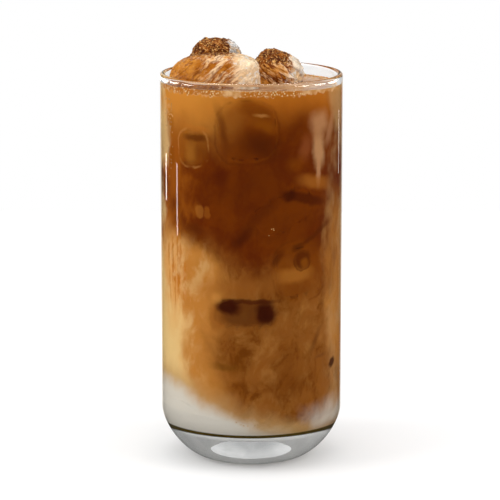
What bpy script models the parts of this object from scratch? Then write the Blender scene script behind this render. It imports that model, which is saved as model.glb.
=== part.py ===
"""Iced latte in a tall straight glass with a thick round base.

Metres, +Z up. The origin is on the table at the centre of the glass's foot, and -Y is the front.
The glass is one turned solid. Milk lies in its bowl, coffee stands on the milk, and three melting
blocks of ice stand out of the coffee above the rim.
"""

import math

import bmesh
import bpy
from mathutils import Euler, Vector

MM = 0.001

# The glass
GLASS_RADIUS = 34.5 * MM
GLASS_HEIGHT = 148.0 * MM
WALL = 2.0 * MM
FOOT_RADIUS = 19.0 * MM
FOOT_INNER_RADIUS = 14.5 * MM
PUNT_DEPTH = 1.4 * MM
PUNT_SLOPE = 2.8 * MM
PUNT_EDGE_HEIGHT = 1.1 * MM
BASE_CORNER_HEIGHT = 18.5 * MM
BASE_CORNER_POWER = 1.55
FLOOR_HEIGHT = 12.5 * MM
BOWL_FLOOR_RADIUS = 15.0 * MM
BOWL_CORNER_HEIGHT = 9.5 * MM
BOWL_CORNER_POWER = 1.75
TURN_STEPS = 64
CORNER_STEPS = 12
BOWL_STEPS = 9
RIM_STEPS = 6

# The drink
LEVEL_BELOW_RIM = 4.7 * MM
LAYER_GAP = 0.3 * MM
MILK_HEIGHT = 19.5 * MM
MILK_RISE_TO_LEFT = 7.0 * MM
MILK_SWIRL = 1.2 * MM
MILK_SWIRL_LENGTH = 26.0 * MM
SWIRL_CELLS = 22

# Each block of ice: centre and half sizes in mm, turn about X, Y and Z in degrees, how square it
# still is, how far its ends bend to the right above and below, how deep its melted hollows go,
# and the phase that sets where they lie
ICE_BLOCKS = {
    "ice_front": {
        "centre": (-13.8, -6.6, 144.9),
        "half": (18.7, 9.9, 12.3),
        "turn": (5.0, 1.5, -12.0),
        "squareness": 3.4,
        "bend": 0.32,
        "melt": 0.05,
        "phase": 0.6,
    },
    "ice_back": {
        "centre": (-14.0, 14.8, 147.0),
        "half": (11.2, 9.8, 13.4),
        "turn": (-5.0, 6.0, 10.0),
        "squareness": 2.7,
        "bend": 0.0,
        "melt": 0.05,
        "phase": 2.1,
    },
    "ice_right": {
        "centre": (8.7, 7.6, 143.3),
        "half": (11.4, 10.6, 13.8),
        "turn": (4.0, 19.0, 10.0),
        "squareness": 2.6,
        "bend": 0.0,
        "melt": 0.06,
        "phase": 4.0,
    },
}
ICE_CAGE_CUTS = 3

FINISHES = {
    "clear_glass": ((0.93, 0.95, 0.95), 0.03, 1.0),
    "milk": ((0.82, 0.76, 0.66), 0.4, 0.0),
    "latte": ((0.42, 0.19, 0.06), 0.35, 0.0),
    "ice": ((0.88, 0.80, 0.70), 0.1, 0.7),
}


def clear_scene():
    for obj in list(bpy.data.objects):
        bpy.data.objects.remove(obj)


def new_collection(name, hidden=False):
    collection = bpy.data.collections.new(name)
    bpy.context.scene.collection.children.link(collection)
    collection.hide_render = hidden
    return collection


def finish(name):
    """The material of that name, with its colour, roughness and share of light let through."""
    material = bpy.data.materials.get(name)
    if material:
        return material
    colour, roughness, clearness = FINISHES[name]
    material = bpy.data.materials.new(name)
    material.use_nodes = True
    shader = material.node_tree.nodes["Principled BSDF"]
    shader.inputs["Base Color"].default_value = (*colour, 1.0)
    shader.inputs["Roughness"].default_value = roughness
    shader.inputs["Metallic"].default_value = 0.0
    shader.inputs["Transmission Weight"].default_value = clearness
    return material


def corner(radius_in, radius_out, low, height, power, steps):
    """Points of a round corner from (radius_in, low) out and up to (radius_out, low + height)."""
    reach = radius_out - radius_in
    points = []
    for step in range(steps + 1):
        angle = math.pi / 2 * step / steps
        points.append(
            (
                radius_in + reach * math.sin(angle) ** (2 / power),
                low + height - height * math.cos(angle) ** (2 / power),
            )
        )
    return points


def bowl_profile(inset=0.0):
    """The inside of the glass from the middle of its floor out to the wall, moved inwards by inset."""
    points = corner(
        BOWL_FLOOR_RADIUS,
        GLASS_RADIUS - WALL - inset,
        FLOOR_HEIGHT + inset,
        BOWL_CORNER_HEIGHT,
        BOWL_CORNER_POWER,
        BOWL_STEPS,
    )
    return [(0.0, FLOOR_HEIGHT + inset)] + points


def rim_profile():
    """The half round lip, from the inner wall over the top to the outer wall."""
    lip = WALL / 2
    middle = GLASS_RADIUS - lip
    return [
        (
            middle - lip * math.cos(math.pi * step / RIM_STEPS),
            GLASS_HEIGHT - lip + lip * math.sin(math.pi * step / RIM_STEPS),
        )
        for step in range(RIM_STEPS + 1)
    ]


def glass_profile():
    outside = corner(
        FOOT_RADIUS,
        GLASS_RADIUS,
        0.0,
        BASE_CORNER_HEIGHT,
        BASE_CORNER_POWER,
        CORNER_STEPS,
    )
    foot = [
        (FOOT_INNER_RADIUS, 0.0),
        (FOOT_INNER_RADIUS - PUNT_SLOPE, PUNT_EDGE_HEIGHT),
        (0.0, PUNT_DEPTH),
    ]
    return bowl_profile() + rim_profile() + outside[::-1] + foot


def drink_profile():
    """The space that the whole drink takes, a gap clear of the glass, up to its level."""
    level = GLASS_HEIGHT - LEVEL_BELOW_RIM
    inside = bowl_profile(LAYER_GAP)[::-1]
    side = inside[0][0]
    return [(0.0, level), (side, level)] + inside


def turned(name, profile, collection):
    """A solid turned about Z from (radius, height) points that run down its outer side."""
    mesh = bpy.data.meshes.new(name)
    places = [(radius, 0.0, height) for radius, height in profile]
    edges = [(i, i + 1) for i in range(len(places) - 1)]
    mesh.from_pydata(places, edges, [])
    obj = bpy.data.objects.new(name, mesh)
    collection.objects.link(obj)
    screw = obj.modifiers.new("Turn", "SCREW")
    screw.steps = TURN_STEPS
    screw.render_steps = TURN_STEPS
    screw.use_merge_vertices = True
    screw.merge_threshold = 0.00005
    screw.use_smooth_shade = True
    return obj


def milk_top(x, y):
    """Height of the milk's uneven top, which rises to the left and rolls where coffee sinks in."""
    turn = 2 * math.pi / MILK_SWIRL_LENGTH
    roll = math.sin(turn * (x + 0.6 * y)) + 0.7 * math.cos(turn * (0.8 * y - 0.5 * x) + 1.0)
    return MILK_HEIGHT - MILK_RISE_TO_LEFT * x / GLASS_RADIUS + MILK_SWIRL * roll


def layer_cutter(name, raised, upwards, collection):
    """A block with the milk's top as one face. It reaches far up or far down from there."""
    shape = bmesh.new()
    reach = 1.3 * GLASS_RADIUS
    bmesh.ops.create_grid(
        shape, x_segments=SWIRL_CELLS, y_segments=SWIRL_CELLS, size=reach
    )
    for vert in shape.verts:
        vert.co.z = milk_top(vert.co.x, vert.co.y) + raised
    bmesh.ops.triangulate(shape, faces=shape.faces[:])
    rim = bmesh.ops.extrude_face_region(shape, geom=shape.faces[:])
    far = GLASS_HEIGHT * 2 if upwards else -GLASS_HEIGHT
    for item in rim["geom"]:
        if isinstance(item, bmesh.types.BMVert):
            item.co.z = far
    bmesh.ops.recalc_face_normals(shape, faces=shape.faces)
    mesh = bpy.data.meshes.new(name)
    shape.to_mesh(mesh)
    shape.free()
    obj = bpy.data.objects.new(name, mesh)
    collection.objects.link(obj)
    return obj


def ice_mesh(name, spec, grown=0.0):
    """A rounded block with shallow melted hollows, made from a cube of small squares."""
    half = [size * MM + grown for size in spec["half"]]
    square, melt, phase = spec["squareness"], spec["melt"], spec["phase"]
    shape = bmesh.new()
    bmesh.ops.create_cube(shape, size=2.0)
    bmesh.ops.subdivide_edges(
        shape, edges=shape.edges[:], cuts=ICE_CAGE_CUTS, use_grid_fill=True
    )
    for vert in shape.verts:
        way = vert.co.normalized()
        spread = sum(abs(part) ** square for part in way)
        place = way * spread ** (-1 / square)
        hollow = math.sin(3.1 * place.x + phase) * math.cos(2.7 * place.y - 1.3 * phase)
        hollow += 0.6 * math.sin(3.7 * place.z + 2.0 * phase + 1.9 * place.x)
        place *= 1 + melt * hollow - melt
        vert.co = [part * size for part, size in zip(place, half)]
        vert.co.x += spec["bend"] * vert.co.z**2 / half[2]
    mesh = bpy.data.meshes.new(name)
    shape.to_mesh(mesh)
    shape.free()
    return mesh


def ice_block(name, spec, collection, grown=0.0):
    mesh = ice_mesh(name, spec, grown)
    obj = bpy.data.objects.new(name, mesh)
    collection.objects.link(obj)
    obj.location = Vector(spec["centre"]) * MM
    obj.rotation_euler = Euler([math.radians(turn) for turn in spec["turn"]])
    smooth = obj.modifiers.new("Melt", "SUBSURF")
    smooth.levels = 1
    smooth.render_levels = 1
    for face in mesh.polygons:
        face.use_smooth = True
    return obj


def cut(obj, operation, cutter):
    boolean = obj.modifiers.new(operation.title() + "_" + cutter.name, "BOOLEAN")
    boolean.operation = operation
    boolean.object = cutter
    cutter.hide_render = True
    cutter.display_type = "WIRE"


def main():
    clear_scene()
    parts = new_collection("iced_latte")
    cutters = new_collection("cutters", hidden=True)

    glass = turned("glass", glass_profile(), parts)
    glass.data.materials.append(finish("clear_glass"))

    milk = turned("milk", drink_profile(), parts)
    milk.data.materials.append(finish("milk"))
    cut(milk, "DIFFERENCE", layer_cutter("above_milk", 0.0, True, cutters))

    coffee = turned("coffee", drink_profile(), parts)
    coffee.data.materials.append(finish("latte"))
    cut(coffee, "DIFFERENCE", layer_cutter("below_coffee", LAYER_GAP, False, cutters))

    for name, spec in ICE_BLOCKS.items():
        block = ice_block(name, spec, parts)
        block.data.materials.append(finish("ice"))
        room = ice_block(name + "_room", spec, cutters, grown=LAYER_GAP)
        cut(coffee, "DIFFERENCE", room)


main()
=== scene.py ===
"""Looks of the iced latte: clear glass, swirled coffee and milk, stained melting ice and froth.

Metres, +Z up, -Y is the front. Sizes that part.py also has keep its names.
"""

import math
import random

import bmesh
import bpy
from mathutils import Euler, Matrix, Vector, noise
from mathutils.bvhtree import BVHTree


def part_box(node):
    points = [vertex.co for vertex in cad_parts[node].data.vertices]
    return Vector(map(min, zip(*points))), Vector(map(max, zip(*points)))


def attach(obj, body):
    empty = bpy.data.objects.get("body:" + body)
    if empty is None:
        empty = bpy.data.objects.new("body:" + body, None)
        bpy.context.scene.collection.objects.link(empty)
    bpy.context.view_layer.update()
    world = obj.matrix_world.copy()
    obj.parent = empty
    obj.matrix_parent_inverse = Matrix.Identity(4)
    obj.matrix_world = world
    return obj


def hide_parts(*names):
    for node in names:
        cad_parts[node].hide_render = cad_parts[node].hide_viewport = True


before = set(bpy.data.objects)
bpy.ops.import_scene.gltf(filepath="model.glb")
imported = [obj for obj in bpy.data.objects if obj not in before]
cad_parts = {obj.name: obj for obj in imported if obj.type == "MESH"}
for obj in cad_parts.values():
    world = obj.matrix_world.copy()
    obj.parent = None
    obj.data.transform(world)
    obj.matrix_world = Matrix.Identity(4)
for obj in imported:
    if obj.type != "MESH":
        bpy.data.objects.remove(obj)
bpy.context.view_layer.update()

MM = 0.001

# The glass
GLASS_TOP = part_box("glass")[1]
RADIUS = GLASS_TOP.x
HEIGHT = GLASS_TOP.z
WALL = 2.0 * MM
FOOT_RADIUS = 19.0 * MM
FOOT_INNER_RADIUS = 14.5 * MM
FOOT_EDGE = 0.5 * MM
PUNT_DEPTH = 1.4 * MM
BASE_CORNER_HEIGHT = 18.5 * MM
BASE_CORNER_POWER = 1.55
FLOOR_HEIGHT = 12.5 * MM
BOWL_FLOOR_RADIUS = 15.0 * MM
BOWL_CORNER_HEIGHT = 9.5 * MM
BOWL_CORNER_POWER = 1.75
TURN_STEPS = 160
GLASS_IOR = 1.5
ICE_IOR = 1.31
WATER_IOR = 1.33

# The drink, which reaches this far into the wall so that no air shows between them
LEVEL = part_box("coffee")[1].z
BITE = 0.15 * MM
SIDE = RADIUS - WALL + BITE
MILK_HEIGHT = 19.5 * MM
MILK_RISE_TO_LEFT = 7.0 * MM
MILK_SWIRL = 1.2 * MM
MILK_SWIRL_LENGTH = 26.0 * MM

# The camera's place, lens in mm and turn in degrees, worked out from the photo
CAMERA_PLACE = (0.0, -0.966, 0.2763)
CAMERA_LENS = 185.5
CAMERA_DOWN = 11.52
CAMERA_LEFT = 0.03


class Wire:
    """A socket that does arithmetic: an expression on wires adds its Math nodes to the tree."""

    def __init__(self, nodes, socket):
        self.nodes = nodes
        self.socket = socket

    def math(self, operation, *others):
        return self.nodes.add("ShaderNodeMath", {"operation": operation}, dict(enumerate((self, *others))))

    def __add__(self, other):
        return self.math("ADD", other)

    def __sub__(self, other):
        return self.math("SUBTRACT", other)

    def __mul__(self, other):
        return self.math("MULTIPLY", other)

    def __rsub__(self, other):
        return self * -1 + other

    __radd__ = __add__
    __rmul__ = __mul__

    def __pow__(self, other):
        return self.math("POWER", other)

    def size(self):
        return self.math("ABSOLUTE")

    def most(self, other):
        return self.math("MAXIMUM", other)

    def least(self, other):
        return self.math("MINIMUM", other)


class Nodes:
    """A node tree, and the one way to add a node to it."""

    def __init__(self, tree):
        self.tree = tree

    def set_values(self, node, values):
        for socket, value in values.items():
            if isinstance(value, Wire):
                self.tree.links.new(value.socket, node.inputs[socket])
            else:
                node.inputs[socket].default_value = value

    def add(self, kind, settings=None, sockets=None, out=0):
        node = self.tree.nodes.new(kind)
        for setting, value in (settings or {}).items():
            setattr(node, setting, value)
        self.set_values(node, sockets or {})
        return Wire(self, node.outputs[out])


class Finish(Nodes):
    """A material: its Principled shader and the nodes that feed it."""

    def __init__(self, name, values):
        self.material = bpy.data.materials.new(name)
        self.material.use_nodes = True
        super().__init__(self.material.node_tree)
        self.shader = self.tree.nodes["Principled BSDF"]
        self.set_values(self.shader, values)

    def place(self):
        return self.add("ShaderNodeTexCoord", out="Object")

    def axes(self, place):
        return [self.add("ShaderNodeSeparateXYZ", None, {0: place}, out) for out in range(3)]

    def along(self, place, way):
        """How far place lies along a direction."""
        return self.add("ShaderNodeVectorMath", {"operation": "DOT_PRODUCT"}, {0: place, 1: way}, "Value")

    def shifted(self, place, push, amount):
        """The place moved by a colour such as a noise's, whose middle is 0.5."""
        middle = self.add("ShaderNodeVectorMath", {"operation": "SUBTRACT"}, {0: push, 1: (0.5, 0.5, 0.5)})
        scaled = self.add("ShaderNodeVectorMath", {"operation": "SCALE"}, {0: middle, "Scale": amount})
        return self.add("ShaderNodeVectorMath", {"operation": "ADD"}, {0: place, 1: scaled})

    def stretched(self, place, longer, turn=(0.0, 0.0, 0.0)):
        """Turned axes, with what lies along each of them drawn out this many times longer."""
        return self.add(
            "ShaderNodeMapping",
            {"vector_type": "TEXTURE"},
            {"Vector": place, "Scale": longer, "Rotation": turn},
        )

    def noise(self, place, length, detail=3.0, roughness=0.5, out=0):
        """Noise whose lumps are about this long, in metres."""
        return self.add(
            "ShaderNodeTexNoise",
            None,
            {"Vector": place, "Scale": 1 / length, "Detail": detail, "Roughness": roughness},
            out,
        )

    def cells(self, place, length):
        """How far each place lies from the middle of its round cell, for bubbles."""
        return self.add("ShaderNodeTexVoronoi", None, {"Vector": place, "Scale": 1 / length})

    def step(self, wire, low, high):
        """0 below low and 1 above high, smoothly; the other way round where low is the larger."""
        return self.add(
            "ShaderNodeMapRange",
            {"interpolation_type": "SMOOTHSTEP"},
            {"Value": wire, "From Min": low, "From Max": high},
        )

    def mix(self, share, first, second):
        """Two colours mixed, all of the second where share is 1."""
        return self.add("ShaderNodeMix", {"data_type": "RGBA"}, {0: share, 6: first, 7: second}, 2)

    def bump(self, height, depth, strength=1.0, under=None):
        sockets = {"Height": height, "Distance": depth, "Strength": strength}
        if under:
            sockets["Normal"] = under
        return self.add("ShaderNodeBump", None, sockets)

    def feed(self, **wires):
        """Links wires to the shader's sockets, named in lower case with _ for a space."""
        for name, wire in wires.items():
            self.set_values(self.shader, {name.replace("_", " ").title(): wire})

    def blend_with(self, other_values, share):
        """Mixes the shader with a second Principled one, all of that where share is 1."""
        first = Wire(self, self.shader.outputs[0])
        second = self.add("ShaderNodeBsdfPrincipled", None, other_values)
        mixed = self.add("ShaderNodeMixShader", None, {0: share, 1: first, 2: second})
        output = self.tree.nodes["Material Output"]
        self.tree.links.new(mixed.socket, output.inputs["Surface"])


def colour(red, green, blue):
    return (red, green, blue, 1.0)


def corner(radius_in, radius_out, low, height, power, steps):
    """Points of a round corner from (radius_in, low) out and up to (radius_out, low + height)."""
    reach = radius_out - radius_in
    points = []
    for step in range(steps + 1):
        angle = math.pi / 2 * step / steps
        points.append(
            (
                radius_in + reach * math.sin(angle) ** (2 / power),
                low + height - height * math.cos(angle) ** (2 / power),
            )
        )
    return points


def upright(radius, low, high, rows):
    """Points straight up a wall, without its two ends."""
    return [(radius, low + (high - low) * row / rows) for row in range(1, rows)]


def turned(outline):
    """A closed shape turned about Z from (radius, height) points that start and end on the axis."""
    shape = bmesh.new()
    verts = [shape.verts.new((radius, 0.0, height)) for radius, height in outline]
    edges = [shape.edges.new(pair) for pair in zip(verts, verts[1:])]
    bmesh.ops.spin(
        shape,
        geom=verts + edges,
        cent=(0, 0, 0),
        axis=(0, 0, 1),
        angle=2 * math.pi,
        steps=TURN_STEPS,
        use_merge=True,
    )
    bmesh.ops.remove_doubles(shape, verts=shape.verts, dist=1e-6)
    bmesh.ops.recalc_face_normals(shape, faces=shape.faces)
    return shape


def made(name, shape):
    """An object with the shape's mesh, smooth all over, at the origin."""
    mesh = bpy.data.meshes.new(name)
    shape.to_mesh(mesh)
    shape.free()
    mesh.shade_smooth()
    obj = bpy.data.objects.new(name, mesh)
    bpy.context.scene.collection.objects.link(obj)
    return obj


def dressed(obj, finish, nodes=()):
    """Gives a finished piece its material and the nodes it stands for."""
    obj.data.materials.clear()
    obj.data.materials.append(finish.material)
    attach(obj, "root")
    if nodes:
        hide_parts(*nodes)


def settled(obj):
    """Applies the object's modifiers to its mesh."""
    bpy.context.view_layer.update()
    graph = bpy.context.evaluated_depsgraph_get()
    mesh = bpy.data.meshes.new_from_object(obj.evaluated_get(graph))
    obj.modifiers.clear()
    obj.data = mesh
    return obj


def cut(obj, tool):
    """Takes the tool's space out of the object, and the tool out of the scene."""
    boolean = obj.modifiers.new("Cut", "BOOLEAN")
    boolean.operation = "DIFFERENCE"
    boolean.object = tool
    settled(obj)
    bpy.data.objects.remove(tool)


def evened(obj):
    """Lets large faces set the normals, so that the slivers left by a cut don't show."""
    even = obj.modifiers.new("Even", "WEIGHTED_NORMAL")
    even.mode = "FACE_AREA"
    even.keep_sharp = True
    settled(obj)


# The glass

def glass_outline():
    bowl = corner(
        BOWL_FLOOR_RADIUS, RADIUS - WALL, FLOOR_HEIGHT, BOWL_CORNER_HEIGHT, BOWL_CORNER_POWER, 24
    )
    lip = WALL / 2
    rim = [
        (
            RADIUS - lip - lip * math.cos(math.pi * step / 12),
            HEIGHT - lip + lip * math.sin(math.pi * step / 12),
        )
        for step in range(13)
    ]
    outside = corner(FOOT_RADIUS, RADIUS, 0.0, BASE_CORNER_HEIGHT, BASE_CORNER_POWER, 36)
    foot = [
        (FOOT_INNER_RADIUS + FOOT_EDGE, 0.0),
        (FOOT_INNER_RADIUS, 0.15 * PUNT_DEPTH),
        (FOOT_INNER_RADIUS - 2 * FOOT_EDGE, 0.45 * PUNT_DEPTH),
        (FOOT_INNER_RADIUS - 5 * FOOT_EDGE, 0.75 * PUNT_DEPTH),
        (0.5 * FOOT_INNER_RADIUS, 0.95 * PUNT_DEPTH),
        (0.0, PUNT_DEPTH),
    ]
    # a row close under the lip keeps the wall's mirror images straight right up to it
    near_lip = HEIGHT - 1.3 * lip
    inner_wall = upright(RADIUS - WALL, bowl[-1][1], near_lip, 14) + [(RADIUS - WALL, near_lip)]
    outer_wall = [(RADIUS, near_lip)] + upright(RADIUS, BASE_CORNER_HEIGHT, near_lip, 14)[::-1]
    return [(0.0, FLOOR_HEIGHT)] + bowl + inner_wall + rim + outer_wall + outside[::-1] + foot


CLEAR_TINT = colour(0.985, 0.99, 0.985)
# Painted shade: grey for the base of the glass, darker at its left
BASE_SHADE = colour(0.44, 0.45, 0.45)
BASE_SHADE_RIGHT = colour(0.68, 0.69, 0.69)


def clear_glass():
    finish = Finish("clear_glass", {"IOR": GLASS_IOR, "Transmission Weight": 1.0})
    place = finish.place()
    smudge = finish.step(finish.noise(place, 22 * MM, 4.0, 0.6), 0.52, 0.75)
    waves = finish.noise(finish.stretched(place, (1.0, 1.0, 4.0)), 16 * MM, 2.0)
    across, deep, high = finish.axes(place)
    patchy = finish.step(finish.noise(place, 9 * MM, 3.0), 0.35, 0.65)
    # painted shade: the glass is greyed below about 13 mm, patchily and less towards the right
    based = finish.step(high, 14.0 * MM, 12.0 * MM) * (0.7 + patchy * 0.3)
    painted_grey = finish.mix(finish.step(across, 4 * MM, 24 * MM), BASE_SHADE, BASE_SHADE_RIGHT)
    tint = finish.mix(based, CLEAR_TINT, painted_grey)
    relief = finish.bump(waves, 0.05 * MM, 0.5)
    under = finish.step(high, 2.4 * MM, 1.2 * MM)
    finish.feed(base_color=tint, roughness=smudge * 0.035 + under * 0.22, normal=relief)
    return finish


def make_glass():
    glass = made("drinking_glass", turned(glass_outline()))
    dressed(glass, clear_glass(), ["glass"])


# The ice that stands out of the drink

# Each block: the node it replaces, the depth of its melted ridges and of its grain in mm, how the
# ridges are turned in degrees, and the seed of its relief
TOP_ICE = {
    "front_block": {"node": "ice_front", "ridge": 0.40, "grain": 0.24, "turn": 38.0, "seed": 3.0},
    "back_block": {"node": "ice_back", "ridge": 0.7, "grain": 0.50, "turn": -20.0, "seed": 11.0},
    "right_block": {"node": "ice_right", "ridge": 0.8, "grain": 0.42, "turn": -35.0, "seed": 23.0},
}
ICE_LEVELS = 3
RIDGE_LENGTH = 5.0 * MM
RIDGE_STRETCH = 0.3
GRAIN_LENGTH = 1.3 * MM
# How far the whole surface is drawn in, in mm, which keeps its ridges close to the solid's faces
MELTED_AWAY = 0.25


def node_shape(node):
    """The CAD node's mesh with its loose triangles merged."""
    shape = bmesh.new()
    shape.from_mesh(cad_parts[node].data)
    bmesh.ops.remove_doubles(shape, verts=shape.verts, dist=1e-6)
    return shape


def smoothed(obj, levels):
    smooth = obj.modifiers.new("Smooth", "SUBSURF")
    smooth.levels = levels
    smooth.render_levels = levels
    return settled(obj)


def roughened(obj, spec):
    """Melts ridges and grains into the surface, along its normals."""
    tilt = Matrix.Rotation(math.radians(spec["turn"]), 3, "Y")
    away = Vector((spec["seed"], 0.0, 0.0))
    mesh = obj.data
    normals = [vert.normal.copy() for vert in mesh.vertices]
    for vert, normal in zip(mesh.vertices, normals):
        turned_place = tilt @ vert.co
        turned_place.x *= RIDGE_STRETCH
        ridge = noise.fractal(turned_place / RIDGE_LENGTH + away, 0.6, 2.1, 3)
        grain = noise.fractal(vert.co / GRAIN_LENGTH + away, 0.7, 2.0, 2)
        depth = spec["ridge"] * ridge + spec["grain"] * grain - MELTED_AWAY
        vert.co += normal * depth * MM
    mesh.update()


TAN_FILM = colour(0.60, 0.25, 0.040)
BROWN_FILM = colour(0.36, 0.11, 0.008)
CREAM_FILM = colour(0.76, 0.50, 0.27)
# White for the clear ends of the ice, partly white ice and partly painted highlights
WHITE_ICE_AND_GLINTS = colour(0.98, 0.93, 0.86)
VEIN_BROWN = colour(0.15, 0.03, 0.002)
CRUST_BROWN = colour(0.075, 0.014, 0.001)
CRUST_MIDDLE = colour(0.27, 0.070, 0.003)
# Golden specks in the crust: coffee crumbs and painted glints
CRUST_GOLD_AND_GLINTS = colour(0.80, 0.42, 0.12)

# How each block's streaks are turned in degrees, where along X (mm) it turns from stained to
# streaked and from streaked to clear, between which heights (mm) its crust of coffee sets in, how
# strong crust and veins are, the colour of its clear end, and how much it lets through
ICE_STAINS = {
    "front_block": {
        "turn": -40.0,
        "streaked": (-21.0, -15.0),
        "clear": (-9.0, -3.0),
        "crust": (150.5, 154.5),
        "crusted": 0.38,
        "veins": 0.6,
        "pale": colour(0.92, 0.70, 0.46),
        "clearness": 0.25,
    },
    "back_block": {
        "turn": 20.0,
        "streaked": (-24.0, -18.0),
        "clear": (-9.5, -7.5),
        "crust": (146.0, 154.0),
        "crusted": 0.42,
        "veins": 0.5,
        "pale": colour(0.98, 0.97, 0.95),
        "clearness": 0.6,
    },
    "right_block": {
        "turn": 38.0,
        "streaked": (-6.0, 0.0),
        "clear": (13.5, 16.5),
        "crust": (147.0, 155.0),
        "crusted": 0.34,
        "veins": 1.0,
        "pale": colour(0.90, 0.76, 0.60),
        "clearness": 0.35,
    },
}


def stained_ice(name, spec):
    """Clear wet ice under a coat of coffee that is thick on one side and gone on another."""
    finish = Finish(name, {"IOR": ICE_IOR, "Specular IOR Level": 0.12})
    finish.set_values(finish.shader, {"Coat Roughness": 0.05, "Coat IOR": WATER_IOR})
    place = finish.place()
    across, deep, high = finish.axes(place)
    tilt = (0.0, math.radians(spec["turn"]), 0.0)
    wavy = finish.shifted(place, finish.noise(place, 7 * MM, 3.0, 0.6, out=1), 3.0 * MM)
    streaks = finish.noise(finish.stretched(wavy, (4.5, 1.5, 1.0), tilt), 1.5 * MM, 3.0, 0.6)
    ribs = finish.noise(finish.stretched(wavy, (6.0, 2.0, 1.0), tilt), 2.6 * MM, 3.0, 0.6)
    clouds = finish.noise(wavy, 5 * MM, 4.0, 0.6)
    specks = finish.noise(finish.stretched(place, (1.6, 1.0, 1.0), tilt), 0.75 * MM, 4.0, 0.75)
    lumps = finish.noise(place, 2.4 * MM, 4.0, 0.7)

    wander = (clouds - 0.5) * (8 * MM)
    streaked = finish.step(across + wander, *[edge * MM for edge in spec["streaked"]])
    ragged = wander * 0.5 + (lumps - 0.5) * (9 * MM)
    bare = finish.step(across + ragged, *[edge * MM for edge in spec["clear"]])
    topped = finish.step(high + deep * 0.35 + wander, *[edge * MM for edge in spec["crust"]])

    tan = finish.mix(finish.step(clouds, 0.3, 0.7), BROWN_FILM, TAN_FILM)
    striped = finish.mix(finish.step(streaks, 0.40, 0.60), BROWN_FILM, CREAM_FILM)
    striped = finish.mix(finish.step(ribs, 0.50, 0.66), striped, TAN_FILM)
    clear = finish.mix(finish.step(ribs, 0.36, 0.56), CREAM_FILM, spec["pale"])
    # white patches on the clear end: white ice and painted highlights
    clear = finish.mix(finish.step(lumps, 0.52, 0.66), clear, WHITE_ICE_AND_GLINTS)
    body = finish.mix(streaked, tan, striped)
    body = finish.mix(bare, body, clear)
    veins = finish.step((ribs - 0.47).size(), 0.05, 0.012).most(finish.step(ribs, 0.60, 0.68))
    body = finish.mix(veins * (1 - bare * 0.7) * spec["veins"], body, VEIN_BROWN)
    grit = specks * 0.5 + lumps * 0.5
    crust = finish.step(grit + topped * spec["crusted"] - bare * 0.6, 0.60, 0.68)
    crumbs = finish.mix(finish.step(lumps, 0.44, 0.64), CRUST_BROWN, CRUST_MIDDLE)
    # golden specks: coffee crumbs and painted glints
    crumbs = finish.mix(finish.step(specks, 0.53, 0.62), crumbs, CRUST_GOLD_AND_GLINTS)
    body = finish.mix(crust, body, crumbs)
    body = finish.mix(finish.step(specks, 0.62, 0.70) * 0.6, body, CREAM_FILM)
    relief = finish.bump(ribs, 0.9 * MM, 0.7)
    relief = finish.bump(streaks, 0.4 * MM, 0.7, relief)
    relief = finish.bump(specks, 0.3 * MM, 0.6, relief)
    wetness = 0.6 - crust * 0.55
    finish.feed(base_color=body, normal=relief, roughness=0.16 + crust * 0.3, coat_weight=wetness)
    wet = {
        "Base Color": colour(0.97, 0.96, 0.94),
        "Roughness": 0.05,
        "IOR": ICE_IOR,
        "Transmission Weight": 1.0,
        "Normal": relief,
    }
    window = finish.step(lumps + bare * 0.3 - crust, 0.66, 0.85)
    finish.blend_with(wet, window * spec["clearness"])
    return finish


def make_top_ice():
    blocks = []
    for name, spec in TOP_ICE.items():
        block = smoothed(made(name, node_shape(spec["node"])), ICE_LEVELS)
        roughened(block, spec)
        dressed(block, stained_ice(name, ICE_STAINS[name]), [spec["node"]])
        blocks.append(block)
    return blocks


# The drink

SURFACE_RINGS = 44
SIDE_ROWS = 30
RIPPLE = 0.22 * MM
RIPPLE_LENGTH = 7.0 * MM
RIPPLE_SEED = 5.0 * MM
MENISCUS_REACH = 1.3 * MM
MENISCUS_BACK = 0.5 * MM
MENISCUS_FRONT = 1.9 * MM
MENISCUS_TURN = math.radians(-25.0)
MENISCUS_WOBBLE = 0.25 * MM
MENISCUS_WOBBLE_LENGTH = 6 * MM
ICE_MENISCUS = 0.6 * MM
ICE_MENISCUS_REACH = 0.9 * MM
# The milk's side lies this share further in, so that the two sides don't lie in one place
MILK_NARROWER = 0.9992
# The drink's edges that are sharper than this are shown as sharp
SHARP_EDGE = math.radians(40)


def wall_rise(x, y):
    """How high the drink creeps up the wall. It is highest at the front, where froth has clung."""
    angle = math.atan2(x, -y) - MENISCUS_TURN
    front = 0.5 + 0.5 * math.cos(angle)
    wobble = MENISCUS_WOBBLE * noise.noise(Vector((x, y, 0.0)) / MENISCUS_WOBBLE_LENGTH)
    return MENISCUS_BACK + (MENISCUS_FRONT - MENISCUS_BACK) * front**1.5 + wobble


def drink_outline():
    bowl = corner(
        BOWL_FLOOR_RADIUS, SIDE, FLOOR_HEIGHT - BITE, BOWL_CORNER_HEIGHT, BOWL_CORNER_POWER, 24
    )
    surface = []
    for ring in range(SURFACE_RINGS):
        share = ring / SURFACE_RINGS
        surface.append((SIDE * share**0.8, LEVEL))
    side = upright(SIDE, bowl[-1][1], LEVEL, SIDE_ROWS)[::-1]
    return surface + [(SIDE, LEVEL)] + side + bowl[::-1] + [(0.0, FLOOR_HEIGHT - BITE)]


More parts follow.
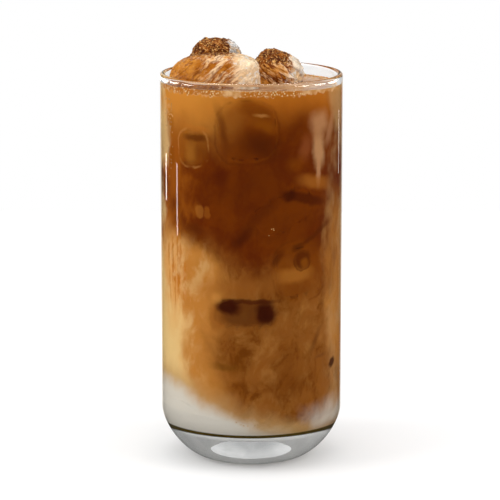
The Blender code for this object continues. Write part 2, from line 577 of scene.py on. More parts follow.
def shape_surface(shape, blocks):
    """Gives the level surface its ripples, and draws it up the wall and the ice."""
    trees = []
    for block in blocks:
        around = bmesh.new()
        around.from_mesh(block.data)
        trees.append(BVHTree.FromBMesh(around))
        around.free()
    for vert in shape.verts:
        if vert.co.z < LEVEL - 1e-6:
            continue
        x, y = vert.co.x, vert.co.y
        out = math.hypot(x, y)
        rise = RIPPLE * noise.noise(Vector((x, y, RIPPLE_SEED)) / RIPPLE_LENGTH)
        rise += wall_rise(x, y) * math.exp(-(SIDE - out) / MENISCUS_REACH)
        near = min(tree.find_nearest(vert.co)[3] for tree in trees)
        rise += ICE_MENISCUS * math.exp(-near / ICE_MENISCUS_REACH)
        vert.co.z += rise


def milk_top(x, y):
    """Height of the milk's uneven top, as in part.py."""
    turn = 2 * math.pi / MILK_SWIRL_LENGTH
    roll = math.sin(turn * (x + 0.6 * y)) + 0.7 * math.cos(turn * (0.8 * y - 0.5 * x) + 1.0)
    return MILK_HEIGHT - MILK_RISE_TO_LEFT * x / RADIUS + MILK_SWIRL * roll


# How much too high the milk is left, so that no crack shows between it and the coffee
MILK_OVERLAP = 0.1 * MM
MILK_CELLS = 60


def milk_cutter(upwards):
    """A block with the milk's top as one face, reaching far up or far down from there."""
    shape = bmesh.new()
    bmesh.ops.create_grid(shape, x_segments=MILK_CELLS, y_segments=MILK_CELLS, size=1.3 * RADIUS)
    for vert in shape.verts:
        vert.co.z = milk_top(vert.co.x, vert.co.y) + (MILK_OVERLAP if upwards else 0.0)
    bmesh.ops.triangulate(shape, faces=shape.faces[:])
    rim = bmesh.ops.extrude_face_region(shape, geom=shape.faces[:])
    far = 2 * HEIGHT if upwards else -HEIGHT
    for item in rim["geom"]:
        if isinstance(item, bmesh.types.BMVert):
            item.co.z = far
    bmesh.ops.recalc_face_normals(shape, faces=shape.faces)
    return made("milk_cutter", shape)


# How much brighter or darker the glass and the light show each channel of the drink
SHOWN = (0.72, 0.74, 0.92)


def seen(red, green, blue):
    """The colour to give the drink for it to show as this one, 0 to 255, through the glass."""
    linear = [((part / 255 + 0.055) / 1.055) ** 2.4 for part in (red, green, blue)]
    return colour(*[min(part / share, 1.0) for part, share in zip(linear, SHOWN)])


FROTH_TAN = seen(204, 140, 62)
TOP_TAN = seen(176, 104, 32)
WARM_BROWN = seen(116, 52, 0)
DEEP_BROWN = seen(98, 38, 0)
NIGHT_BROWN = seen(56, 14, 0)
LATTE = seen(142, 86, 34)
MOTTLE_DARK = seen(112, 60, 8)
MOTTLE_LIGHT = seen(160, 106, 52)
GOLDEN = seen(214, 166, 108)
AMBER = seen(168, 94, 22)
ORANGE = seen(184, 108, 30)
TAN_LEFT = seen(196, 136, 68)
CREAM = seen(228, 196, 152)
BEIGE = seen(186, 150, 108)
MILK = seen(208, 205, 214)
# Rose for painted reflections of lights in ice by the wall
ROSE_REFLECTION = seen(190, 142, 106)
# A painted dark line, for the shade at the drink's lowest edge seen through the base
OLIVE_SHADE_LINE = seen(78, 64, 26)
# The drink's underside, which shows through the base, painted near white, and how strongly it glows:
# painted light that brightens the base
UNDERSIDE = colour(0.97, 0.97, 0.96)
MILK_GLOW = 0.20
# The drink's surface and the froth on it, seen through no glass
SURFACE_BROWN = colour(0.30, 0.125, 0.040)
SURFACE_TAN = colour(0.50, 0.27, 0.11)
SURFACE_FROTH = colour(0.76, 0.58, 0.40)
FROTH = seen(238, 212, 178)
FILM_TAN = seen(192, 140, 88)
FILM_CREAM = seen(220, 188, 154)
# 2 makes the painted patches oval, and more makes them squarer
PATCH_SQUARENESS = 2.8


class Wall:
    """The drink's side as a sheet to paint on: angle from the front in degrees, height in mm."""

    def __init__(self, finish, place):
        self.finish = finish
        self.place = place
        self.high = finish.axes(place)[2]

    def patch(self, angle, height, half_width, half_height, turn, soft):
        """1 inside a rounded patch and 0 outside, soft at its edge. Sizes are in mm."""
        reach = self.reach(angle, height, half_width, half_height, turn)
        return self.finish.step(reach, 1 + 0.6 * soft, 1 - soft)

    def reach(self, angle, height, half_width, half_height, turn):
        """How far out of a patch's middle a place lies, 1 at the patch's outline."""
        around, lean = math.radians(angle), math.radians(turn)
        across = Vector((math.cos(around), math.sin(around), 0.0))
        wide = across * math.cos(lean) + Vector((0, 0, math.sin(lean)))
        tall = Vector((0, 0, math.cos(lean))) - across * math.sin(lean)
        drop = height * MM
        first = (self.finish.along(self.place, wide) - drop * wide.z) * (1 / (half_width * MM))
        second = (self.finish.along(self.place, tall) - drop * tall.z) * (1 / (half_height * MM))
        outward = (math.sin(around), -math.cos(around), 0.0)
        # the same place on the far side of the glass is kept out of the patch
        behind = self.finish.step(self.finish.along(self.place, outward), 4 * MM, 0.0)
        round_sum = first.size() ** PATCH_SQUARENESS + second.size() ** PATCH_SQUARENESS
        return round_sum ** (1 / PATCH_SQUARENESS) + behind * 9.0

    def band(self, low, high, soft):
        """1 between two heights in mm, with soft ends."""
        up = self.finish.step(self.high, (low - soft) * MM, (low + soft) * MM)
        down = self.finish.step(self.high, (high + soft) * MM, (high - soft) * MM)
        return up * down

    def side(self, angle, near, far):
        """1 within near degrees of an angle on the wall, and 0 past far degrees."""
        around = math.radians(angle)
        outward = (math.sin(around), -math.cos(around), 0.0)
        facing = self.finish.along(self.place, outward) * (1 / SIDE)
        return self.finish.step(facing, math.cos(math.radians(far)), math.cos(math.radians(near)))


def paint_depths(finish, wall, loose, clouds, wisps):
    """The layers: froth-tan at the top, dark brown, swirls of milk below, milk at the bottom."""
    high = loose.high
    brown = finish.mix(finish.step(clouds, 0.35, 0.65), DEEP_BROWN, WARM_BROWN)
    mottled = finish.mix(finish.step(clouds, 0.40, 0.62), MOTTLE_DARK, MOTTLE_LIGHT)
    latte_tone = finish.mix(finish.step(wisps, 0.35, 0.65), mottled, LATTE)
    across = finish.axes(loose.place)[0]
    tilted = high + across.least(0.0) * 0.6
    tone = finish.mix(finish.step(tilted, 86 * MM, 66 * MM), brown, latte_tone)
    # tan at the top, deeper and paler towards the left
    tone = finish.mix(finish.step(high, 129 * MM, 144 * MM), tone, TOP_TAN)
    left_top = loose.side(-58.0, 12.0, 62.0)
    tone = finish.mix(left_top * finish.step(high, 118 * MM, 138 * MM) * 0.85, tone, FROTH_TAN)
    tone = finish.mix(loose.side(-64.0, 8.0, 26.0) * loose.band(88, 128, 10) * 0.7, tone, AMBER)
    # tan, golden and cream down the left, where milk hangs along the wall
    tan = loose.side(-55.0, 14.0, 48.0) * finish.step(tilted, 78 * MM, 68 * MM)
    tone = finish.mix(tan * 0.85, tone, TAN_LEFT)
    golden = loose.side(-72.0, 8.0, 30.0) * finish.step(high, 96 * MM, 80 * MM)
    tone = finish.mix(golden * 0.9, tone, GOLDEN)
    threads = finish.noise(finish.stretched(wall.place, (1.0, 1.0, 14.0)), 1.6 * MM, 2.0)
    threaded = wall.side(-56.0, 6.0, 12.0) * wall.band(62, 90, 5) * finish.step(threads, 0.5, 0.6)
    tone = finish.mix(threaded * 0.8, tone, ORANGE)
    cream = loose.side(-80.0, 12.0, 42.0) * finish.step(high, 66 * MM, 46 * MM)
    tone = finish.mix(cream * 0.9, tone, CREAM)
    veiled = loose.side(-66.0, 10.0, 40.0) * loose.band(34, 84, 8) * finish.step(wisps, 0.42, 0.68)
    tone = finish.mix(veiled * 0.55, tone, CREAM)
    right = loose.side(80.0, 4.0, 30.0) * loose.band(30, 100, 10)
    tone = finish.mix(right * 0.6, tone, TAN_LEFT)
    # painted light: the drink's left edge is made lighter, as the bright room shows through the glass's
    # edge
    tone = finish.mix(loose.side(-90.0, 6.0, 24.0) * 0.7, tone, CREAM)
    # painted light: the right edge is made lighter in drifting beige clouds, for the same bright edge of
    # the glass
    drifts = finish.noise(finish.stretched(loose.place, (1.0, 1.0, 2.2)), 15 * MM, 3.0, 0.6)
    right_edge_light = loose.side(92.0, 8.0, 44.0) * finish.step(drifts, 0.40, 0.62)
    tone = finish.mix(right_edge_light * 0.7, tone, BEIGE)
    return tone


def paint_milk(finish, wall, loose, tone):
    across = finish.axes(loose.place)[0]
    slope = loose.high + across * 0.42
    tone = finish.mix(finish.step(slope, 30 * MM, 18 * MM) * 0.85, tone, BEIGE)
    tone = finish.mix(finish.step(slope, 23 * MM, 15 * MM), tone, MILK)
    low_right = wall.side(50.0, 35.0, 70.0) * finish.step(wall.high, 20 * MM, 16 * MM)
    tone = finish.mix(low_right * 0.6, tone, BEIGE)
    pale_right = loose.side(74.0, 12.0, 44.0) * finish.step(loose.high, 28 * MM, 17 * MM)
    tone = finish.mix(pale_right * 0.9, tone, MILK)
    level = finish.axes(finish.place())[2]
    # painted shade: a thin dark olive band low on the drink
    tone = finish.mix(finish.step(level, 14.9 * MM, 14.5 * MM), tone, OLIVE_SHADE_LINE)
    under = finish.step(level, 13.8 * MM, 13.4 * MM)
    # painted light: the underside glows, to brighten the glass base it shows through
    finish.feed(emission_color=finish.mix(under, colour(0, 0, 0), UNDERSIDE))
    return finish.mix(under, tone, UNDERSIDE)


# Patches on the wall: angle from the front and height of the middle, half width and half height,
# turn, softness, share of the colour, and the colour. Sunk ice shows as a few of these each: painted
# shade where it lies dark, and painted highlights and reflections where it catches the light.
SUNK_MARKS = {
    "bubble streak, shade": (-64, 129.5, 2.9, 6.5, 0, 0.4, 0.5, seen(150, 88, 20)),
    "bubble streak, lower shade": (-62, 118.5, 2.6, 4.0, 0, 0.3, 0.7, seen(140, 76, 6)),
    "small block, face": (-41, 123.4, 6.8, 7.0, 0, 0.3, 0.4, seen(138, 82, 22)),
    "small block, lit top": (-38, 130.6, 6.0, 1.2, -5, 0.7, 0.55, seen(184, 114, 44)),
    "small block, shade": (-38, 127.0, 5.6, 1.5, -3, 0.6, 0.75, seen(90, 42, 0)),
    "small block, glint": (-42, 121.0, 2.6, 4.2, 0, 0.8, 0.55, seen(172, 112, 42)),
    "large block, face": (-3, 130.0, 11.4, 11.3, 0, 0.3, 0.55, seen(116, 54, 0)),
    "large block, dark core": (6, 125.2, 7.0, 5.0, -14, 0.9, 0.85, seen(78, 30, 0)),
    "large block, dark top": (3, 138.0, 7.5, 3.2, -28, 0.6, 0.6, seen(112, 54, 0)),
    "large block, glint": (6, 136.4, 2.6, 0.7, -8, 0.8, 0.6, seen(190, 132, 70)),
    "large block, light below glint": (8, 132.6, 5.0, 2.2, -22, 0.9, 0.6, seen(142, 78, 10)),
    "large block, left shade": (-19, 131.5, 1.5, 8.0, 14, 0.9, 0.6, seen(88, 36, 0)),
    "tan right of the large block": (24, 137.0, 4.5, 5.5, -14, 0.9, 0.4, seen(156, 88, 22)),
    "dark right of the large block": (30, 130.0, 6.0, 7.0, 0, 0.9, 0.45, seen(96, 42, 0)),
    "dark under small block": (-20, 113.5, 2.8, 3.4, 0, 0.8, 0.7, seen(78, 22, 0)),
    "dark in the middle": (0, 110.0, 11.0, 7.0, 20, 0.9, 0.5, seen(92, 36, 0)),
    # painted reflection: the rose patches are lights mirrored in ice by the wall
    "rose reflection, top": (49, 132.0, 5.0, 4.6, 10, 0.7, 0.75, ROSE_REFLECTION),
    "rose reflection, right arm": (60, 129.0, 2.0, 6.5, -24, 0.7, 0.5, ROSE_REFLECTION),
    "rose reflection, middle": (48, 122.0, 3.2, 7.0, 4, 0.6, 0.8, seen(196, 150, 112)),
    "rose reflection, foot": (48, 113.5, 1.2, 5.0, 0, 0.7, 0.75, ROSE_REFLECTION),
    "rose reflection, left lobe": (37, 123.5, 2.6, 4.6, -14, 0.8, 0.4, seen(160, 92, 56)),
    "gold loop": (30, 117.5, 4.0, 3.0, 0, 0.8, 0.3, seen(140, 76, 10)),
    "tilted block, light above": (45, 110.0, 8.0, 2.6, -12, 0.7, 0.75, seen(166, 100, 38)),
    "tilted block, face": (24, 96.0, 13.0, 8.0, 24, 0.4, 0.45, seen(112, 52, 2)),
    "tilted block, dark top": (37, 104.2, 9.6, 2.0, -14, 0.5, 0.85, seen(76, 28, 0)),
    "tilted block, darkest": (25, 106.2, 2.6, 2.2, 30, 0.6, 0.75, seen(64, 20, 0)),
    "tilted block, edge's shade": (5, 98.6, 13.0, 2.0, 44, 0.9, 0.45, seen(84, 34, 0)),
    "tilted block, low corner": (-6, 90.2, 4.6, 1.9, 44, 0.7, 0.75, seen(72, 26, 0)),
    "window's reflection": (-35, 99.5, 2.0, 2.4, 0, 0.3, 0.5, seen(176, 110, 44)),
    "window's second pane": (-29, 99.5, 1.3, 2.4, 0, 0.3, 0.45, seen(170, 98, 30)),
    "shade under the window": (-40, 93.0, 3.4, 2.2, 0, 0.9, 0.7, seen(88, 38, 0)),
    "round end, face": (34, 77.5, 11.4, 11.8, 0, 0.3, 0.5, seen(132, 70, 10)),
    "round end, light": (28.5, 75.8, 7.6, 3.0, 5, 0.6, 0.8, seen(168, 106, 42)),
    "round end, shade below": (33, 69.5, 9.0, 3.0, 0, 0.9, 0.45, seen(112, 56, 2)),
    "round end, top edge": (44, 89.8, 9.5, 1.0, 27, 0.7, 0.7, seen(84, 36, 0)),
    "round end, left edge": (17, 82.4, 1.4, 4.0, -30, 0.7, 0.65, seen(82, 34, 0)),
    "round end, hollow": (35, 81.2, 3.3, 3.6, 0, 0.35, 0.75, seen(82, 34, 0)),
    "round end, hollow's light": (36.5, 80.0, 1.7, 2.0, 20, 0.6, 0.8, seen(134, 74, 16)),
    "round end, small hollow": (31, 86.2, 2.4, 1.4, 12, 0.5, 0.6, seen(86, 38, 0)),
    "flat block, left side": (-22, 60.0, 3.6, 5.2, 0, 0.4, 0.65, seen(150, 90, 34)),
    "flat block, face": (-3, 61.8, 10.8, 5.2, 0, 0.35, 0.85, seen(98, 52, 16)),
    "flat block, top edge": (-2, 66.4, 11.2, 1.0, 0, 0.5, 0.85, seen(74, 30, 4)),
    "flat block, dark left": (-15, 64.2, 4.8, 3.0, -12, 0.5, 0.95, NIGHT_BROWN),
    "flat block, dark right": (9.5, 61.8, 3.8, 4.6, 0, 0.45, 0.95, NIGHT_BROWN),
    "flat block, lit bottom": (-4, 55.6, 7.0, 1.6, 4, 0.9, 0.4, seen(146, 86, 30)),
    "light by the flat block": (-23, 67.8, 2.2, 2.3, 0, 0.7, 0.75, seen(200, 142, 74)),
    "dark spot": (65, 39.3, 2.6, 1.7, 35, 0.4, 0.9, seen(60, 24, 6)),
    "faint mark by the spot": (51, 43.0, 3.2, 0.8, 12, 0.8, 0.6, seen(110, 66, 32)),
    "slanting shade": (46, 50.0, 1.2, 6.0, -28, 0.8, 0.55, seen(94, 52, 18)),
    "olive shade": (-17, 41.0, 5.4, 1.5, -4, 0.7, 0.65, seen(114, 70, 16)),
    "olive shade, glow": (-12, 37.5, 7.0, 2.4, 10, 0.9, 0.35, seen(164, 104, 46)),
    "shade low right": (24, 34.0, 9.0, 6.0, 30, 0.9, 0.5, seen(112, 58, 6)),
    "light over the flat block": (-6, 72.0, 15.0, 3.4, 4, 0.9, 0.45, seen(154, 94, 38)),
    "left back block, face": (-112, 108.0, 10.4, 11.4, -14, 0.3, 0.55, seen(118, 56, 2)),
    "left back block, dark top": (-110, 117.0, 8.5, 2.4, -14, 0.6, 0.8, seen(78, 28, 0)),
    "left back block, light": (-115, 103.0, 6.0, 3.0, -10, 0.8, 0.6, seen(160, 96, 34)),
    "low back block, face": (-150, 72.0, 11.8, 8.4, 22, 0.3, 0.6, seen(108, 58, 14)),
    "low back block, dark end": (-143, 70.0, 4.0, 5.0, 22, 0.5, 0.9, NIGHT_BROWN),
    "low back block, top edge": (-150, 79.0, 10.5, 1.1, 22, 0.5, 0.8, seen(78, 34, 6)),
    "back block, face": (176, 112.0, 11.4, 10.4, 10, 0.3, 0.55, seen(116, 54, 0)),
    "back block, dark core": (171, 108.0, 6.0, 5.0, 20, 0.8, 0.8, seen(76, 28, 0)),
    "back block, glint": (-176, 119.0, 3.0, 0.8, 10, 0.8, 0.6, seen(188, 130, 68)),
    "right back block, face": (128, 84.0, 10.8, 11.4, -20, 0.3, 0.5, seen(128, 68, 10)),
    "right back block, light": (124, 80.0, 6.5, 3.0, -16, 0.7, 0.7, seen(166, 104, 40)),
    "right back block, edge": (130, 94.0, 9.0, 1.1, -20, 0.6, 0.75, seen(84, 36, 0)),
    "high right block, face": (100, 124.0, 9.0, 8.5, 8, 0.3, 0.5, seen(120, 58, 2)),
    "high right block, shade": (103, 128.0, 6.5, 1.6, 8, 0.6, 0.75, seen(88, 38, 0)),
}
# Thin outlines of sunk ice, painted as dark shade or as light refracted along its edges: as above,
# with the line's thickness as a share of the size for softness
SUNK_OUTLINES = {
    "small block": (-41, 123.2, 6.9, 7.2, 0, 0.10, 0.55, seen(190, 132, 70)),
    "large block": (-3, 129.8, 11.6, 11.8, 3, 0.07, 0.35, seen(86, 36, 0)),
    "large block, inner": (-2, 129.5, 10.2, 10.4, 6, 0.06, 0.20, seen(146, 78, 10)),
    "round end": (34, 77.3, 11.6, 12.0, 4, 0.07, 0.45, seen(92, 42, 0)),
    "flat block": (-3, 61.6, 11.4, 5.8, 0, 0.09, 0.35, seen(112, 64, 20)),
    "hollow": (35, 81.2, 3.4, 3.7, 0, 0.14, 0.5, seen(72, 28, 0)),
    "left back block": (-112, 108.0, 10.8, 11.8, -14, 0.07, 0.5, seen(90, 38, 0)),
    "back block": (176, 112.0, 11.8, 10.8, 10, 0.07, 0.5, seen(88, 36, 0)),
    "right back block": (128, 84.0, 11.2, 11.8, -20, 0.07, 0.5, seen(92, 42, 0)),
    "high right block": (100, 124.0, 9.3, 8.8, 8, 0.08, 0.45, seen(182, 124, 62)),
}


# Where froth clings to the wall: the angle of its middle, and how far to each side it stays and ends
FROTH_RUNS = ((-48.0, 22.0, 34.0), (14.0, 17.0, 24.0), (160.0, 40.0, 60.0))


def paint_froth(finish, place, tone):
    """The froth's edge against the glass, scalloped by its bubbles, and thin rafts on the surface."""
    wall = Wall(finish, place)
    cells = finish.cells(place, 1.7 * MM)
    fine = finish.cells(place, 0.8 * MM)
    edge = wall.high + (0.5 - cells) * (1.9 * MM)
    here = wall.side(*FROTH_RUNS[0])
    for run in FROTH_RUNS[1:]:
        here = here.most(wall.side(*run))
    froth = finish.step(edge, 142.9 * MM, 143.5 * MM) * here
    across, deep, high = finish.axes(place)
    out = (across**2 + deep**2) ** 0.5
    inside = finish.step(out, 32 * MM, 31.5 * MM)
    on_top = finish.step(high, LEVEL - 0.6 * MM, LEVEL - 0.4 * MM) * inside
    film = finish.step(edge, LEVEL - 0.7 * MM, LEVEL + 0.2 * MM) * (1 - inside)
    milky = finish.step(finish.noise(place, 5 * MM, 3.0), 0.40, 0.60)
    tone = finish.mix(film * 0.8, tone, finish.mix(milky, FILM_TAN, FILM_CREAM))
    swirl = finish.shifted(place, finish.noise(place, 14 * MM, 3.0, 0.6, out=1), 12 * MM)
    creamy = finish.step(finish.noise(finish.stretched(swirl, (2.0, 1.0, 1.0)), 6 * MM, 4.0), 0.4, 0.66)
    tone = finish.mix(on_top, tone, finish.mix(creamy, SURFACE_BROWN, SURFACE_TAN))
    near_wall = finish.step(out, 24 * MM, 29 * MM)
    tone = finish.mix(near_wall * on_top * wall.side(-50.0, 30.0, 56.0) * 0.7, tone, FILM_CREAM)
    rafts = finish.step(finish.noise(place, 7 * MM, 4.0, 0.65), 0.5, 0.6) * on_top
    rafts = rafts.most(near_wall * here * on_top * finish.step(cells, 0.55, 0.35))
    bubbly = finish.mix(finish.step(fine, 0.15, 0.5), FROTH, TOP_TAN)
    tone = finish.mix(froth * 0.9, tone, bubbly)
    foamy = finish.mix(finish.step(fine, 0.15, 0.5), SURFACE_FROTH, SURFACE_TAN)
    return finish.mix(rafts * 0.7, tone, foamy), on_top


def latte():
    """Coffee and milk in one finish, because they run into each other."""
    finish = Finish("latte", {"Specular IOR Level": 0.0, "Roughness": 0.3, "Coat Roughness": 0.08})
    # painted light: the strength of the underside's glow, whose colour paint_milk feeds
    finish.set_values(finish.shader, {"Emission Strength": MILK_GLOW})
    place = finish.place()
    slow = finish.noise(place, 26 * MM, 2.0, 0.5, out=1)
    drift = finish.shifted(place, slow, 10 * MM)
    fine = finish.noise(finish.stretched(drift, (1.0, 1.0, 1.4)), 9 * MM, 4.0, 0.55, out=1)
    swirl = finish.shifted(drift, fine, 8 * MM)
    ripples = finish.noise(place, 3 * MM, 3.0, 0.6, out=1)
    wall = Wall(finish, finish.shifted(finish.shifted(place, fine, 2.0 * MM), ripples, 1.5 * MM))
    loose = Wall(finish, swirl)
    clouds = finish.noise(finish.stretched(swirl, (1.0, 1.0, 1.4)), 11 * MM, 5.0, 0.62)
    wisps = finish.noise(finish.stretched(swirl, (1.0, 1.0, 2.4), (0.0, 0.6, 0.0)), 5 * MM, 4.0, 0.6)
    tone = paint_depths(finish, wall, loose, clouds, wisps)
    # the sunk ice's painted shade, highlights and reflections
    for *form, soft, share, paint in SUNK_MARKS.values():
        tone = finish.mix(wall.patch(*form, soft) * share, tone, paint)
    # painted shade and light along the outlines of sunk ice
    broken = finish.step(finish.noise(place, 8 * MM, 2.0), 0.42, 0.60)
    for *form, thin, share, paint in SUNK_OUTLINES.values():
        line = finish.step((wall.reach(*form) - 1).size(), thin, 0.0)
        tone = finish.mix(line * broken * share, tone, paint)
    tone = paint_milk(finish, wall, loose, tone)
    tone, on_top = paint_froth(finish, place, tone)
    finish.feed(base_color=tone, coat_weight=on_top * 0.5)
    return finish


def make_drink(blocks):
    finish = latte()
    shape = turned(drink_outline())
    shape_surface(shape, blocks)
    coffee = made("coffee_with_milk", shape.copy())
    bmesh.ops.scale(shape, verts=shape.verts, vec=(MILK_NARROWER, MILK_NARROWER, 1.0))
    milk = made("milk_below", shape)
    for body, upwards in ((coffee, False), (milk, True)):
        cut(body, milk_cutter(upwards))
    for name, spec in TOP_ICE.items():
        cut(coffee, smoothed(made(name + "_room", node_shape(spec["node"])), 1))
    for name, spec in SUNK_ICE.items():
        cut(coffee, sunk_block(name + "_room", *spec, smaller=SUNK_OVERLAP, reach=SUNK_OVERLAP))
        dressed(sunk_block(name, *spec), finish)
    for body in (coffee, milk):
        body.data.shade_smooth()
        body.data.set_sharp_from_angle(angle=SHARP_EDGE)
        evened(body)
    dressed(coffee, finish, ["coffee"])
    dressed(milk, finish, ["milk"])


# Ice wholly sunk in the drink: angle and height of its middle, half sizes across, deep and high
# in mm, turn in degrees
SUNK_ICE = {
    "small_block": (-41, 123.4, 6.5, 6.0, 7.2, 0),
    "large_block": (-3, 130.0, 11.2, 6.0, 11.6, 4),
    "tilted_block": (22, 99.8, 12.6, 6.0, 7.0, 28),
    "round_end_block": (34, 77.2, 11.2, 6.0, 10.6, 8),
    "flat_block": (-4, 61.8, 11.4, 6.0, 5.6, 0),
    "right_block": (72, 39.0, 6.5, 6.0, 5.5, 30),
    "left_back_block": (-112, 108.0, 11.0, 6.0, 12.0, -14),
    "low_back_block": (-150, 72.0, 12.5, 6.0, 9.0, 22),
    "back_block": (176, 112.0, 12.0, 6.0, 11.0, 10),
    "right_back_block": (128, 84.0, 11.5, 6.0, 12.0, -20),
    "high_right_block": (100, 124.0, 9.5, 6.0, 9.0, 8),
}
SUNK_SQUARENESS = 3.6
SUNK_UNEVENNESS = 0.05
# How far in from the drink's side a block's middle lies, as a share of its half size deep
SUNK_INWARD = 0.75
# How far a block's face stands out of the drink's side, and how much smaller its room is
FACE_PROUD = 0.03 * MM
SUNK_OVERLAP = 0.5 * MM


def sunk_block(name, angle, height, wide, deep, tall, turn, smaller=0.0, reach=FACE_PROUD):
    """A rounded block whose outer face has melted to the curve of the glass."""
    shape = bmesh.new()
    bmesh.ops.create_cube(shape, size=2.0)
    bmesh.ops.subdivide_edges(shape, edges=shape.edges[:], cuts=5, use_grid_fill=True)
    around = math.radians(angle)
    lean = Matrix.Rotation(math.radians(-turn), 3, "Y")
    spin = Matrix.Rotation(around, 3, "Z")
    middle = Vector((0.0, -(SIDE - SUNK_INWARD * deep * MM), height * MM))
    half = Vector((wide, deep, tall)) * MM - Vector((smaller, smaller, smaller))
    for vert in shape.verts:
        way = vert.co.normalized()
        spread = sum(abs(part) ** SUNK_SQUARENESS for part in way)
        place = way * spread ** (-1 / SUNK_SQUARENESS)
        place *= 1 + SUNK_UNEVENNESS * noise.noise(place * 1.7 + Vector((angle, height, 0.0)))
        place = Vector([part * size for part, size in zip(place, half)])
        vert.co = spin @ (lean @ place + middle)
        out = math.hypot(vert.co.x, vert.co.y)
        limit = SIDE + reach
        if out > limit:
            vert.co.x *= limit / out
            vert.co.y *= limit / out
    bmesh.ops.recalc_face_normals(shape, faces=shape.faces)
    return made("sunk_" + name, shape)


# Bubbles

BUBBLE_SEED = 5
# How far bubbles stray in from the wall in mm, and the power that makes most of them small
BUBBLE_STRAY = 0.9
BUBBLE_SMALLNESS = 1.4
# Runs of bubbles along the edge of the surface: from and to an angle, how many, and their sizes
EDGE_BUBBLES = {
    "left": (-82, -22, 120, (0.22, 0.55)),
    "middle": (-6, 34, 110, (0.22, 0.60)),
    "right": (36, 84, 40, (0.20, 0.45)),
    "back": (95, 262, 150, (0.20, 0.60)),
}
# Bubbles caught between ice and glass: angle, height, spread of both, how many, and their sizes
WALL_BUBBLES = {
    "high left": (-67, 134.0, 8, 8.0, 80, (0.22, 0.45)),
    "left": (-66, 118.0, 6, 6.0, 40, (0.20, 0.36)),
    "by the tilted block": (12, 94.0, 5, 3.0, 4, (0.22, 0.34)),
    "milk": (2, 19.5, 12, 1.2, 7, (0.14, 0.22)),
    "back": (150, 120.0, 40, 14.0, 40, (0.20, 0.42)),
}


def add_bubble(shape, place, radius):
    bmesh.ops.create_icosphere(shape, subdivisions=2, radius=radius, matrix=Matrix.Translation(place))


def bubble_finish(name, middle, edge):
    """A thin bubble: its middle is painted with the colour of what lies behind, and its edge is made pale
    as a painted reflection.
    """
    finish = Finish(name, {"Roughness": 0.08, "Coat Weight": 1.0, "IOR": WATER_IOR})
    rim = finish.add("ShaderNodeLayerWeight", None, {"Blend": 0.45}, "Facing")
    patchy = finish.step(finish.noise(finish.place(), 3 * MM), 0.4, 0.6)
    inside = finish.mix(patchy, middle, SURFACE_TAN)
    # painted reflection: the colour turns to the pale edge colour where the surface turns away
    finish.feed(base_color=finish.mix(finish.step(rim, 0.2, 0.8), inside, edge))
    return finish


def make_bubbles():
    chance = random.Random(BUBBLE_SEED)
    shape = bmesh.new()
    for start, stop, count, sizes in EDGE_BUBBLES.values():
        for _ in range(count):
            angle = math.radians(chance.uniform(start, stop))
            radius = chance.uniform(*sizes) ** BUBBLE_SMALLNESS * MM
            inward = abs(chance.gauss(0.0, BUBBLE_STRAY)) * MM
            out = SIDE - BITE - radius - inward
            x, y = out * math.sin(angle), -out * math.cos(angle)
            rise = wall_rise(x, y) * math.exp(-(SIDE - out) / MENISCUS_REACH)
            add_bubble(shape, Vector((x, y, LEVEL + rise + 0.2 * radius)), radius)
    edge = made("froth_edge", shape)
    shape = bmesh.new()
    for angle, height, wide, tall, count, sizes in WALL_BUBBLES.values():
        for _ in range(count):
            around = math.radians(chance.gauss(angle, 0.5 * wide))
            radius = chance.uniform(*sizes) * MM
            out = SIDE + BITE - radius
            high = height * MM + chance.gauss(0.0, 0.5 * tall) * MM
            place = Vector((out * math.sin(around), -out * math.cos(around), high))
            add_bubble(shape, place, radius)
    caught = made("caught_bubbles", shape)
    dressed(edge, bubble_finish("froth_bubbles", BEIGE, FROTH))
    dressed(caught, bubble_finish("caught_bubbles", GOLDEN, CREAM))


# The studio

FLOOR_SIZE = 0.5
PAPER = colour(0.85, 0.85, 0.85)
# The white room's strength as light, seen through glass and seen mirrored
ROOM_LIGHT = 1.15
ROOM_BEHIND = 0.95
ROOM_MIRRORED = 0.04
# Each light: angle round the glass in degrees from the front, distance and height in metres, width
# and height, and power in watts. Softboxes light everything, and glints only show as highlights.
SOFTBOXES = {
    "left_softbox": (-72, 0.8, 0.5, (0.5, 0.8), 3.4),
    "right_softbox": (68, 0.8, 0.5, (0.5, 0.8), 2.6),
}
GLINTS = {
    "left_streak": (-130, 0.25, 0.069, (0.012, 0.022), 0.006),
    "thin_streak": (-102, 0.25, 0.061, (0.010, 0.034), 0.007),
    "overhead": (180, 0.3, 1.1, (0.9, 0.6), 18.0),
    "left_edge": (-166, 0.5, 0.1, (0.17, 0.5), 0.19),
    "right_edge": (166, 0.5, 0.1, (0.17, 0.5), 0.15),
    "right_streak": (138, 0.25, 0.085, (0.012, 0.030), 0.002),
}
SOFTBOX_WHITE = (1.0, 1.0, 1.0)
GLINT_CREAM = (1.0, 0.93, 0.82)
# Low bands of light that show as the white of the rim: their angles and their power
RIM_BANDS = {"left": ((-84, -110, -136, -162), 0.014), "right": ((66, 92, 118), 0.013)}
RIM_BAND_FAR = 0.22
RIM_BAND_SIZE = (0.104, 0.0030)
# The height of their mirror image on the wall, and how steeply the camera looks down at it
RIM_GLINT = 147.3 * MM
RIM_SLOPE = 0.135


def band_height(angle):
    """How high a band of light stands for its mirror image to lie at the rim."""
    squared = RIM_BAND_FAR**2 + RADIUS**2 - 2 * RIM_BAND_FAR * RADIUS * math.cos(math.radians(angle / 2))
    return RIM_GLINT - RIM_SLOPE * math.sqrt(squared)


def make_floor():
    shape = bmesh.new()
    bmesh.ops.create_grid(shape, x_segments=8, y_segments=8, size=FLOOR_SIZE)
    floor = made("studio_floor", shape)
    paper = Finish("white_paper", {"Base Color": PAPER, "Roughness": 0.9, "Specular IOR Level": 0.0})
    floor.data.materials.append(paper.material)
    # unseen in mirror images, as a white floor would veil the dark drink
    floor.visible_glossy = False


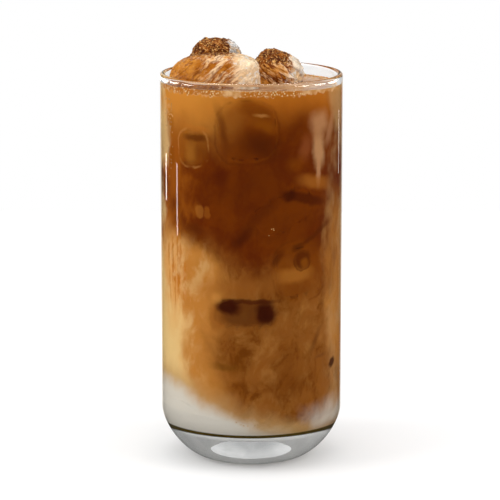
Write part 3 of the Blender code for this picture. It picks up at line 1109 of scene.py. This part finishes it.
def make_light(name, angle, far, up, size, power, lights=False):
    light = bpy.data.lights.new(name, "AREA")
    light.shape = "RECTANGLE"
    light.size, light.size_y = size
    light.energy = power
    light.color = SOFTBOX_WHITE if lights else GLINT_CREAM
    obj = bpy.data.objects.new(name, light)
    bpy.context.scene.collection.objects.link(obj)
    around = math.radians(angle)
    obj.location = (far * math.sin(around), -far * math.cos(around), up)
    aim = Vector((0, 0, 0.5 * HEIGHT if lights else up)) - obj.location
    obj.rotation_euler = aim.to_track_quat("-Z", "Y").to_euler()
    obj.visible_camera = False
    obj.visible_diffuse = lights
    obj.visible_transmission = lights


def make_world():
    """White to look at and for light, and dim where a surface mirrors it."""
    world = bpy.data.worlds.new("white_room")
    bpy.context.scene.world = world
    world.use_nodes = True
    nodes = Nodes(world.node_tree)
    direct, behind, scattered = [
        nodes.add("ShaderNodeLightPath", out=ray)
        for ray in ("Is Camera Ray", "Is Transmission Ray", "Is Diffuse Ray")
    ]
    strength = behind * (ROOM_BEHIND - ROOM_MIRRORED) + ROOM_MIRRORED
    strength = strength + scattered * (ROOM_LIGHT - strength)
    strength = strength + direct * (1 - strength)
    backdrop = nodes.tree.nodes["Background"]
    nodes.set_values(backdrop, {"Color": colour(1.0, 1.0, 1.0), "Strength": strength})


def make_camera():
    lens = bpy.data.cameras.new("camera")
    lens.lens = CAMERA_LENS
    lens.sensor_width = 36.0
    lens.clip_start = 0.05
    lens.clip_end = 20.0
    camera = bpy.data.objects.new("camera", lens)
    bpy.context.scene.collection.objects.link(camera)
    camera.location = CAMERA_PLACE
    turn = (math.radians(90.0 - CAMERA_DOWN), 0.0, math.radians(CAMERA_LEFT))
    camera.rotation_euler = Euler(turn)
    bpy.context.scene.camera = camera


def make_studio():
    make_camera()
    make_floor()
    make_world()
    for name, spec in SOFTBOXES.items():
        make_light(name, *spec, lights=True)
    for name, spec in GLINTS.items():
        make_light(name, *spec)
    for name, (angles, power) in RIM_BANDS.items():
        for angle in angles:
            place = (angle, RIM_BAND_FAR, band_height(angle))
            make_light(name + "_rim_band", *place, RIM_BAND_SIZE, power)
    bpy.context.scene.view_settings.view_transform = "Standard"


make_studio()
make_glass()
top_blocks = make_top_ice()
make_drink(top_blocks)
make_bubbles()
